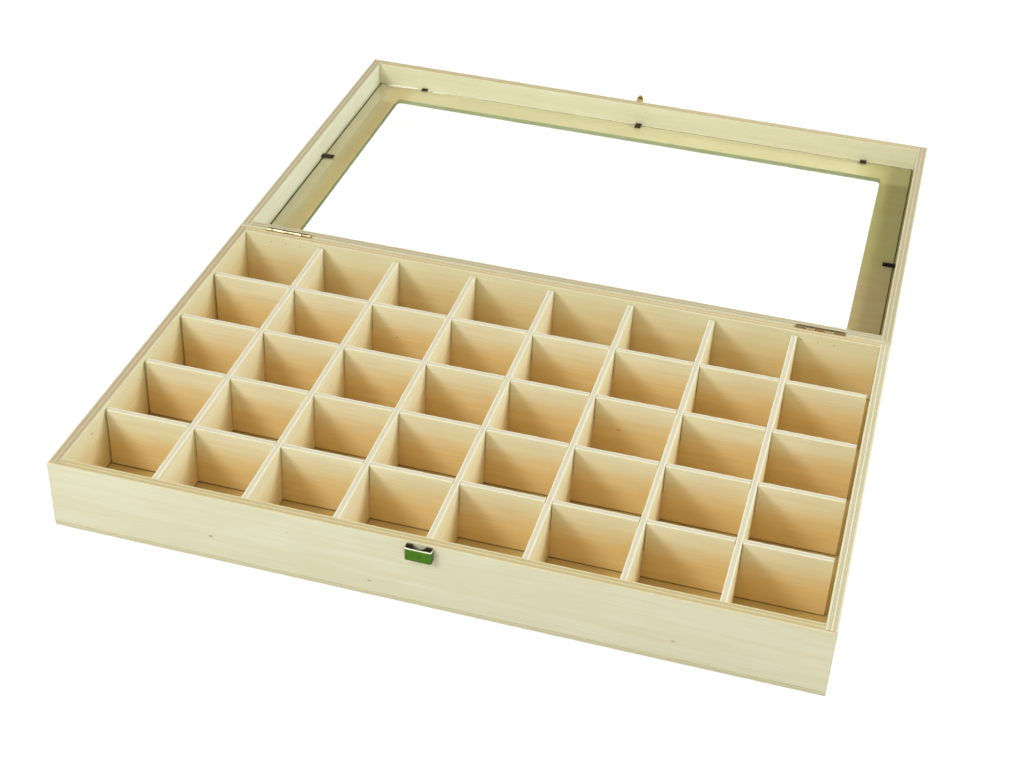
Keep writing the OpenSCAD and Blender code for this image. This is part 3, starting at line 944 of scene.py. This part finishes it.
class SPECIMEN_OT_dividers(bpy.types.Operator):
    """Makes the loose grid of slotted divider strips"""

    bl_idname = "specimen.dividers"
    bl_label = "Divider Grid"

    def execute(self, context):
        cross_places = [sum(corner.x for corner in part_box(node)) / 2 for node in CROSS_DIVIDERS]
        long_places = [sum(corner.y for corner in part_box(node)) / 2 for node in LONG_DIVIDERS]
        kinds = (
            (CROSS_DIVIDERS, X, Y, cross_places, long_places, False),
            (LONG_DIVIDERS, Y, X, long_places, cross_places, True),
        )
        for nodes, thick, grain, places, slots, from_top in kinds:
            first = slotted_strip(nodes[0], thick, slots, from_top)
            strips = [first] + [
                copy_piece(first, node + "_strip", axis_vector(thick, place - places[0]))
                for node, place in zip(nodes[1:], places[1:])
            ]
            for seed, (node, strip) in enumerate(zip(nodes, strips)):
                finish = plywood(node, thick, grain, THIN_PLIES, 11.7 + 2.3 * seed + thick, "strip")
                dress(strip, "divider_grid", [node], finish)
        return {"FINISHED"}


class SPECIMEN_OT_lid_frame(bpy.types.Operator):
    """Makes the lid's four walls and its windowed panel"""

    bl_idname = "specimen.lid_frame"
    bl_label = "Lid Frame"

    def execute(self, context):
        walls = {
            "lid_front_wall": long_wall("lid_front_wall", HIGH),
            "lid_rear_wall": long_wall("lid_rear_wall", LOW),
        }
        cut_hinge_pockets(walls["lid_rear_wall"], LID_REAR, -1)
        for node, wall in walls.items():
            dress(wall, "lid", [node], plywood(node, Y, X, WALL_PLIES, len(node) * 2.9))
        for seed, node in enumerate(("lid_left_wall", "lid_right_wall")):
            wall = plain_board(node, Y)
            dress(wall, "lid", [node], plywood(node, X, Y, WALL_PLIES, 21.3 + seed))
        finish = plywood("lid_panel", Z, X, THIN_PLIES, 5.5, "panel")
        dress(self.windowed_panel(), "lid", ["lid_panel"], finish)
        return {"FINISHED"}

    def windowed_panel(self):
        """The panel with its round-cornered window."""
        low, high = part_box("lid_panel")
        panel = plain_board("lid_panel", X)
        margin = Vector((WINDOW_SIDE, WINDOW_FRONT, 0))
        past = Vector((0, 0, 5 * MM))
        window = block("window", low + margin - past, high - margin + past)
        edit(window)
        choose(window, "EDGE", lambda middle, way: abs(way.z) > 0.9)
        bpy.ops.mesh.bevel(offset=WINDOW_CORNER, segments=8, affect="EDGES")
        subtract(panel, window)
        smooth_rounds(panel)
        return panel


class SPECIMEN_OT_pane(bpy.types.Operator):
    """Makes the clear pane with its polished edges"""

    bl_idname = "specimen.pane"
    bl_label = "Pane"

    def execute(self, context):
        low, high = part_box("pane")
        skin, edge = Vector((0, 0, 0.02 * MM)), 0.25 * MM
        pane = block("pane_sheet", low + skin, high - skin)
        apply_modifier(pane, "BEVEL", width=edge, segments=2)
        smooth_rounds(pane)
        dress(pane, "lid", ["pane"], pane_material())
        return {"FINISHED"}


class SPECIMEN_OT_glazing_points(bpy.types.Operator):
    """Makes the flat steel points that hold the pane"""

    bl_idname = "specimen.glazing_points"
    bl_label = "Glazing Points"

    def execute(self, context):
        fittings = context.scene.specimen_fittings
        points = []
        for centre, turn, reach in self.places():
            point = self.point(reach)
            point.matrix_world = Matrix.Translation(centre) @ Euler((0, 0, turn)).to_matrix().to_4x4()
            activate(point)
            bpy.ops.object.transform_apply(location=True, rotation=True, scale=True)
            points.append(point)
        piece = join(points, "glazing_point_set")
        smooth_rounds(piece)
        # Near-black steel: a painted dark reflection
        finish = metal("dark_steel", fittings.steel, fittings.rust, 0.6, 9.0)
        dress(piece, "lid", ["glazing_points"], finish)
        return {"FINISHED"}

    def point(self, reach):
        """One point that lies on z = 0 and reaches along +y from a wall face at y = 0."""
        width, thickness, bite, lift, edge = 4.4 * MM, 0.5 * MM, 4 * MM, 0.03 * MM, 0.12 * MM
        point = block("point", (-width / 2, -bite / 2, lift), (width / 2, reach, thickness))
        edit(point)
        choose(point, "FACE", lambda middle, way: way.y < -0.9)
        extrude_by((0, -bite / 2, 0))
        bpy.ops.transform.resize(value=(0.1, 1, 1))
        apply_modifier(point, "BEVEL", width=edge, segments=2)
        return point

    def places(self):
        """Each point's place at its wall face, the turn that faces it inwards and its reach."""
        low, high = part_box("pane")
        play, wall_thickness, inset, full, right_shift = 1 * MM, 6 * MM, 41 * MM, 8.25 * MM, 15 * MM
        half = (high - low) / 2 + Vector((play, play, 0))
        middle, top = (low + high) / 2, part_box("glazing_points")[LOW].z
        outer = half.x + wall_thickness - inset
        near_reaches, far_reaches = (6 * MM, 7 * MM, 5 * MM), (3.5 * MM, 6.5 * MM, 4.5 * MM)
        along = (-outer, 0, outer)
        spots = [(x, -half.y, 0, reach) for x, reach in zip(along, near_reaches)]
        spots += [(x, half.y, math.pi, reach) for x, reach in zip(along, far_reaches)]
        spots += [(half.x, -right_shift, math.pi / 2, full), (-half.x, 0, -math.pi / 2, full)]
        return [(Vector((middle.x + x, middle.y + y, top)), turn, reach) for x, y, turn, reach in spots]


def nail(start, direction, length):
    """A nail with a slightly domed countersunk head, driven from start along direction."""
    dome, ring = 0.06 * MM, 0.03 * MM
    rings = [
        (-dome, 0.45 * HEAD_RADIUS), (-ring, 0.8 * HEAD_RADIUS), (0, HEAD_RADIUS),
        (HEAD_DEPTH, SHANK_RADIUS), (length - TIP_LENGTH, SHANK_RADIUS), (length, TIP_RADIUS),
    ]
    return turned("nail", start, direction, rings)


def hinge_nail_places(wall):
    """The heads of three nails a leaf, for both hinges."""
    return [
        Vector((centre + step * HINGE_NAIL_PITCH, wall, RIM - HINGE_NAIL_DROP))
        for centre in hinge_centres() for step in (-1, 0, 1)
    ]


def cut_nail_holes(plate, heads, outward):
    """Cuts a countersunk hole through a plate for each nail head."""
    start, play = 1 * MM, 0.1 * MM
    mouth, bore = HEAD_RADIUS + play, SHANK_RADIUS + play
    rings = [(0, mouth), (start, mouth), (start + 0.5 * MM, bore), (3 * MM, bore)]
    holes = [
        turned("hole", head + Vector((0, outward * start, 0)), (0, -outward, 0), rings) for head in heads
    ]
    subtract(plate, join(holes, "holes"))


class SPECIMEN_OT_hinges(bpy.types.Operator):
    """Makes the two butt hinges: rolled leaves, pins and nails"""

    bl_idname = "specimen.hinges"
    bl_label = "Hinges"

    def execute(self, context):
        fittings = context.scene.specimen_fittings
        brass = metal("hinge_brass", fittings.hinge_brass, fittings.hinge_tarnish, 1.0, 2.0)
        nail_brass = metal("nail_brass", fittings.nail, fittings.nail_tarnish, 0.9, 7.0)
        sides = (("box", BOX_REAR, 1, 0), ("lid", LID_REAR, -1, 1))
        for body, wall, outward, first in sides:
            for side, centre in zip(("left", "right"), hinge_centres()):
                leaf = self.leaf(centre, wall, outward, first)
                name_piece(leaf, f"{body}_hinge_leaf_{side}")
                dress(leaf, body, [f"hinge_leaf_{body}_{side}"], brass)
            nails = [nail(place, (0, -outward, 0), HINGE_NAIL_LENGTH) for place in hinge_nail_places(wall)]
            nails = join(nails, f"{body}_hinge_nail_set")
            smooth_rounds(nails)
            dress(nails, body, [f"hinge_nails_{body}"], nail_brass)
        for side, centre in zip(("left", "right"), hinge_centres()):
            pin = self.pin(centre, side)
            dress(pin, "box", [f"hinge_pin_{side}"], brass)
        return {"FINISHED"}

    def leaf(self, centre, wall, outward, first):
        """A plate let into the wall, whose fingers rise and roll round the pin."""
        start, pitch, play = centre - HINGE_LENGTH / 2, HINGE_LENGTH / KNUCKLES, 0.1 * MM
        root, rise, roll, edge = 1.4 * MM, 0.8 * MM, math.radians(295), 0.08 * MM
        near, far = sorted((wall, wall - outward * LEAF_SHEET))
        plate = block("leaf", (start, near, RIM - LEAF_HEIGHT), (start + HINGE_LENGTH, far, RIM - root))
        fingers = [
            (start + k * pitch + play, start + (k + 1) * pitch - play) for k in range(first, KNUCKLES, 2)
        ]
        cut_across(plate, X, [place for finger in fingers for place in finger])
        edit(plate)
        choose(
            plate, "FACE",
            lambda middle, way: way.z > 0.9 and any(low < middle.x < high for low, high in fingers),
        )
        side = HINGE_AXIS.y - outward * (BARREL_RADIUS - LEAF_SHEET / 2)
        plate_middle = wall - outward * LEAF_SHEET / 2
        extrude_by((0, side - plate_middle, rise))
        extrude_by((0, 0, HINGE_AXIS.z - (RIM - root) - rise))
        bpy.ops.mesh.spin(steps=18, angle=-outward * roll, center=HINGE_AXIS, axis=(1, 0, 0))
        face_outwards(plate)
        apply_modifier(plate, "BEVEL", width=edge, segments=2, limit_method="ANGLE")
        heads = [place for place in hinge_nail_places(wall) if abs(place.x - centre) < HINGE_LENGTH / 2]
        cut_nail_holes(plate, heads, outward)
        smooth_rounds(plate)
        return plate

    def pin(self, centre, side):
        """A pin with slightly domed ends."""
        start = Vector((centre - HINGE_LENGTH / 2, HINGE_AXIS.y, HINGE_AXIS.z))
        dome = 0.15 * MM
        end = [(0, 0.3 * PIN_RADIUS), (0.3 * dome, 0.75 * PIN_RADIUS), (dome, PIN_RADIUS)]
        rings = end + [(HINGE_LENGTH - along, radius) for along, radius in reversed(end)]
        pin = turned(f"hinge_pin_rod_{side}", start, (1, 0, 0), rings)
        smooth_rounds(pin, math.radians(60))
        return pin


class SPECIMEN_OT_catch(bpy.types.Operator):
    """Makes the bent brass catch on the front wall"""

    bl_idname = "specimen.catch"
    bl_label = "Catch"

    def execute(self, context):
        fittings = context.scene.specimen_fittings
        catch = join([self.pocket(), *self.prongs()], "catch_pocket")
        smooth_rounds(catch)
        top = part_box("catch_bracket")[HIGH].z
        bands = (
            # Painted highlight along the bend
            (top - 1.25 * MM, top - 0.8 * MM, fittings.catch_bend_painted_highlight),
            # Painted dark reflection on the flange
            (top - 0.36 * MM, top - 0.2 * MM, fittings.catch_flange_painted_reflection),
        )
        # The catch's brass carries a painted green reflection
        finish = metal("catch_brass_green_reflection", fittings.catch_brass_green_reflection, fittings.catch_tarnish_green_reflection, 0.5, 6.0, bands)
        dress(catch, "box", ["catch_bracket"], finish)
        return {"FINISHED"}

    def pocket(self):
        """A sheet bent round three sides, creased in at its top and notched for the tongue."""
        low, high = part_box("catch_bracket")
        bend, crease, notch, touch = 1.2 * MM, 0.8 * MM, 3.4 * MM, 0.01 * MM
        catch = block("catch_pocket", low, (high.x, BOX_FRONT, high.z))
        edit(catch)
        choose(catch, "EDGE", lambda middle, way: abs(way.z) > 0.9 and middle.y < BOX_FRONT - MM)
        bpy.ops.mesh.bevel(offset=bend, segments=6, affect="EDGES")
        choose(
            catch, "EDGE", lambda middle, way: middle.z > high.z - touch and middle.y < BOX_FRONT - touch
        )
        bpy.ops.mesh.bevel(offset=crease, segments=4, affect="EDGES")
        choose(
            catch, "FACE",
            lambda middle, way: (way.y > 0.9 and middle.y > BOX_FRONT - touch)
            or (way.z < -0.9 and middle.z < low.z + touch),
        )
        bpy.ops.mesh.delete(type="FACE")
        apply_modifier(catch, "SOLIDIFY", thickness=FITTING_SHEET, offset=-1)
        centre = Vector(((low.x + high.x) / 2, BOX_FRONT, high.z - 1.2 * FITTING_SHEET))
        subtract(catch, turned("notch", centre, (0, 0, 1), [(0, notch), (3 * MM, notch)]))
        return catch

    def prongs(self):
        """The two pointed prongs that go into the wall."""
        low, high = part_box("catch_bracket")
        overlap, half_height = 0.05 * MM, 1 * MM
        middle = (low.z + high.z) / 2
        prongs = []
        for edge, inner in ((low.x, FITTING_SHEET), (high.x, -FITTING_SHEET)):
            left, right = sorted((edge, edge + inner))
            prong = block(
                "prong", (left, BOX_FRONT - overlap, middle - half_height),
                (right, high.y, middle + half_height),
            )
            edit(prong)
            choose(prong, "FACE", lambda place, way: way.y > 0.9)
            bpy.ops.transform.resize(value=(1, 1, 0.05))
            prongs.append(prong)
        return prongs


class SPECIMEN_OT_latch(bpy.types.Operator):
    """Makes the latch plate with its spring tongue, and its nails"""

    bl_idname = "specimen.latch"
    bl_label = "Latch"

    def execute(self, context):
        fittings = context.scene.specimen_fittings
        brass = metal("latch_brass", fittings.brass, fittings.tarnish, 0.6, 4.0)
        low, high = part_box("latch_plate")
        centre = (low.x + high.x) / 2
        heads = [
            Vector((centre + side * LATCH_NAIL_PITCH / 2, LID_FRONT + FITTING_SHEET, RIM - LATCH_NAIL_DROP))
            for side in (-1, 1)
        ]
        plate = self.plate(low, high, centre)
        cut_nail_holes(plate, heads, 1)
        smooth_rounds(plate)
        dress(plate, "lid", ["latch_plate"], brass)
        nails = join([nail(head, (0, -1, 0), LATCH_NAIL_LENGTH) for head in heads], "latch_nail_set")
        smooth_rounds(nails)
        dress(nails, "lid", ["latch_nails"], brass)
        return {"FINISHED"}

    def plate(self, low, high, centre):
        """A plate whose middle is drawn up into a narrowing tongue, over a crest and back."""
        top, root, crest_width, edge = RIM - 0.5 * MM, 5 * MM, 3.4 * MM, 0.12 * MM
        outer_face = LID_FRONT + FITTING_SHEET
        plate = block("latch_spring_plate", (low.x, LID_FRONT, low.z), (high.x, outer_face, top))
        cut_across(plate, X, [centre - root / 2, centre + root / 2])
        edit(plate)
        choose(plate, "FACE", lambda middle, way: way.z > 0.9 and abs(middle.x - centre) < root / 2)
        # Distance of each step from the wall, its height above the rim and how far it narrows
        first_narrow = 0.85
        steps = [
            (1.15 * MM, 0.4 * MM, 1.0), (1.15 * MM, 1.4 * MM, first_narrow),
            (2.4 * MM, 2.3 * MM, crest_width / root / first_narrow),
            (1.75 * MM, 3.4 * MM, 0.8), (1.45 * MM, 4.0 * MM, 0.55),
        ]
        out, up = FITTING_SHEET / 2, top - RIM
        for new_out, new_up, narrow in steps:
            extrude_by((0, new_out - out, new_up - up))
            bpy.ops.transform.resize(value=(narrow, 1, 1))
            out, up = new_out, new_up
        face_outwards(plate)
        apply_modifier(
            plate, "BEVEL", width=edge, segments=3, limit_method="ANGLE", angle_limit=math.radians(50)
        )
        return plate


class SPECIMEN_OT_studio(bpy.types.Operator):
    """Makes the floor, the surroundings, the lights and the camera"""

    bl_idname = "specimen.studio"
    bl_label = "Studio"

    def execute(self, context):
        studio = context.scene.specimen_studio
        self.floor()
        self.surroundings(context.scene, studio)
        self.soft_light("key_light", (-0.80, -0.95, 0.95), 0.48, studio.key_power, studio.key_colour)
        self.soft_light("side_light", (1.20, 0.44, 0.85), 0.55, studio.side_power, studio.side_colour)
        self.camera(context.scene, studio)
        context.scene.view_settings.view_transform = "Standard"
        return {"FINISHED"}

    def seen_directly(self, tree):
        """1 for what the camera sees directly, in gloss or through the pane."""
        path = put(tree, "ShaderNodeLightPath").outputs
        seen = calc(tree, "MAXIMUM", path["Is Camera Ray"], path["Is Glossy Ray"])
        seen = calc(tree, "MAXIMUM", seen, path["Is Transmission Ray"])
        return product(tree, seen, calc(tree, "LESS_THAN", path["Diffuse Depth"], 0.5))

    def floor(self):
        """A pale floor that keeps a faint shadow and otherwise shows white."""
        clear_selection()
        bpy.ops.mesh.primitive_circle_add(
            vertices=64, radius=12, fill_type="NGON", location=(0, 0.12, -0.2 * MM)
        )
        floor = name_piece(bpy.context.object, "studio_floor")
        bpy.ops.object.transform_apply(location=True, rotation=True, scale=True)
        material, tree, shader = new_material("floor_white")
        feed(tree, shader, {"Base Color": (0.7, 0.7, 0.7, 1), "Roughness": 0.8})
        through_pane = put(tree, "ShaderNodeLightPath").outputs["Is Transmission Ray"]
        strength = ramp(tree, through_pane, 0.0, 1.0, 1.0, 1.3)
        glow = put(tree, "ShaderNodeEmission", {"Color": (0.88, 0.88, 0.88, 1), "Strength": strength})
        shade = put(tree, "ShaderNodeBsdfDiffuse", {"Color": (0.2, 0.2, 0.2, 1)})
        white = put(tree, "ShaderNodeAddShader", {0: glow.outputs[0], 1: shade.outputs[0]})
        mix_surface(tree, self.seen_directly(tree), shader, white)
        floor.data.materials.append(material)

    def surroundings(self, scene, studio):
        """Even pale light from all round, white where it is seen, with a dark ceiling for gloss."""
        world = bpy.data.worlds.new("studio_air")
        world.use_nodes = True
        tree = world.node_tree
        tree.nodes.clear()
        height = split(tree, put(tree, "ShaderNodeTexCoord").outputs["Generated"])[Z]
        glossy = put(tree, "ShaderNodeLightPath").outputs["Is Glossy Ray"]
        ceiling = product(tree, glossy, ramp(tree, height, 0.22, 0.42, 0.0, 0.9))
        strength = calc(tree, "SUBTRACT", 1.0, ceiling)
        white = put(tree, "ShaderNodeBackground", {"Color": (1, 1, 1, 1), "Strength": strength})
        inputs = {"Color": (*studio.fill_colour, 1), "Strength": studio.fill}
        fill = put(tree, "ShaderNodeBackground", inputs)
        inputs = {0: self.seen_directly(tree), 1: fill.outputs[0], 2: white.outputs[0]}
        mix = put(tree, "ShaderNodeMixShader", inputs)
        put(tree, "ShaderNodeOutputWorld", {"Surface": mix.outputs[0]})
        scene.world = world

    def soft_light(self, name, place, size, power, colour):
        """A square lamp that faces the box."""
        aim = Vector((0, 0.08, 0.03))
        clear_selection()
        bpy.ops.object.light_add(type="AREA", location=place)
        lamp = bpy.context.object
        lamp.name = name
        lamp.rotation_euler = (Vector(place) - aim).to_track_quat("Z", "Y").to_euler()
        lamp.data.size = size
        lamp.data.energy = power
        lamp.data.color = colour

    def camera(self, scene, studio):
        """The camera, turned round its aim."""
        level = math.cos(studio.camera_elevation)
        back = Vector((
            math.sin(studio.camera_azimuth) * level,
            -math.cos(studio.camera_azimuth) * level,
            math.sin(studio.camera_elevation),
        ))
        clear_selection()
        bpy.ops.object.camera_add(location=Vector(studio.camera_aim) + back * studio.camera_distance)
        camera = bpy.context.object
        camera.name = "studio_camera"
        level_turn = back.to_track_quat("Z", "Y").to_matrix()
        camera.rotation_euler = (level_turn @ Matrix.Rotation(studio.camera_roll, 3, "Z")).to_euler()
        camera.data.lens = studio.lens
        camera.data.clip_start = 0.05
        camera.data.clip_end = 100
        scene.camera = camera


OPERATORS = (
    SPECIMEN_OT_studio,
    SPECIMEN_OT_box_walls,
    SPECIMEN_OT_dividers,
    SPECIMEN_OT_lid_frame,
    SPECIMEN_OT_pane,
    SPECIMEN_OT_glazing_points,
    SPECIMEN_OT_hinges,
    SPECIMEN_OT_catch,
    SPECIMEN_OT_latch,
)


class SPECIMEN_PT_sidebar(bpy.types.Panel):
    """Lists the pieces of the specimen box"""

    bl_idname = "SPECIMEN_PT_sidebar"
    bl_label = "Specimen Box"
    bl_space_type = "VIEW_3D"
    bl_region_type = "UI"
    bl_category = "Specimen Box"

    def draw(self, context):
        for operator in OPERATORS:
            self.layout.operator(operator.bl_idname)
        for settings in ("specimen_wood", "specimen_fittings", "specimen_studio"):
            group = getattr(context.scene, settings)
            for name in group.bl_rna.properties.keys():
                if name not in ("rna_type", "name"):
                    self.layout.prop(group, name)


CLASSES = (WoodSettings, FittingSettings, StudioSettings, *OPERATORS, SPECIMEN_PT_sidebar)


def register():
    for kind in CLASSES:
        bpy.utils.register_class(kind)
    bpy.types.Scene.specimen_wood = PointerProperty(type=WoodSettings)
    bpy.types.Scene.specimen_fittings = PointerProperty(type=FittingSettings)
    bpy.types.Scene.specimen_studio = PointerProperty(type=StudioSettings)


def unregister():
    del bpy.types.Scene.specimen_studio
    del bpy.types.Scene.specimen_fittings
    del bpy.types.Scene.specimen_wood
    for kind in reversed(CLASSES):
        bpy.utils.unregister_class(kind)


def main():
    """Makes everything in order."""
    register()
    make_groups()
    bpy.ops.specimen.studio()
    bpy.ops.specimen.box_walls()
    bpy.ops.specimen.dividers()
    bpy.ops.specimen.lid_frame()
    bpy.ops.specimen.pane()
    bpy.ops.specimen.glazing_points()
    bpy.ops.specimen.hinges()
    bpy.ops.specimen.catch()
    bpy.ops.specimen.latch()
    clear_selection()


if __name__ == "__main__":
    main()
